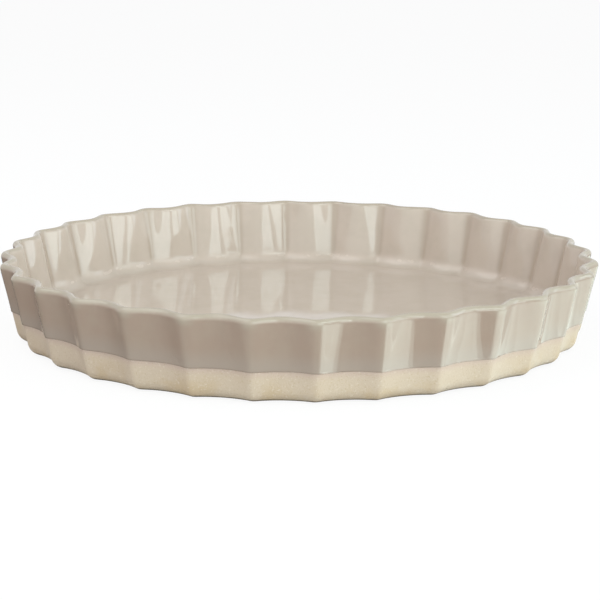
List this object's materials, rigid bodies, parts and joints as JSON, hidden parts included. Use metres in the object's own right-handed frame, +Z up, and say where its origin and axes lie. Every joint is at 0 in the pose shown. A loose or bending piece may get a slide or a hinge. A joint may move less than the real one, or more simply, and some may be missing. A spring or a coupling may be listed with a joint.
{
  "type": "tart dish",
  "caption": "Round stoneware tart dish with a flat floor, a low leaning fluted wall and a rounded rim, glazed inside and down to a bare clay base, for baking and serving tarts.",
  "frame": {"origin": "on the table, under the middle of the foot ring", "axes": "+Z up along the axis of the dish; a ridge of the fluted wall lies on +X, -X, +Y and -Y"},
  "size_m": [0.3, 0.3, 0.04],
  "materials": {
    "bare_stoneware": "unglazed, fine sandy grain",
    "greige_glaze": "glossy, paler where it breaks over the rim and the ridges"
  },
  "bodies": {
    "root": {"stoneware_body": "bare_stoneware", "glaze_coat": "greige_glaze"}
  },
  "joints": []
}
